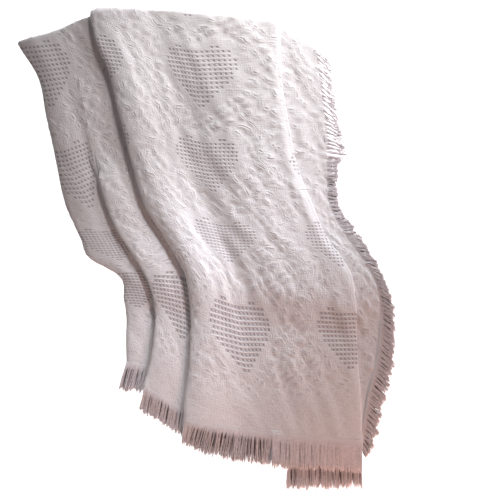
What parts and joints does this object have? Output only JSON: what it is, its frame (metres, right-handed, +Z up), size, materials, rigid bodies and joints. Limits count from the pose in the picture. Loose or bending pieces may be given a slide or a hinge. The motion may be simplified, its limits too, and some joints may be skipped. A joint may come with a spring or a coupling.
{
  "type": "throw blanket",
  "caption": "Woven cotton throw with openwork hearts, laid out in soft pleats with its top turned under and a fringe along its bottom and right edges.",
  "frame": {"origin": "middle of the laid-out throw's outline, on the surface that it rests on", "axes": "+X to the right of the throw as it lies, +Y up its length from the bottom fringe to the top fold, +Z up"},
  "size_m": [0.8662, 1.1078, 0.0363],
  "materials": {
    "woven_cotton": "matt woven cotton",
    "fringe_cotton": "loose cotton yarn"
  },
  "bodies": {
    "root": {"throw_cloth": "woven_cotton", "hem_fringe": "fringe_cotton", "side_fringe": "fringe_cotton"}
  },
  "joints": []
}
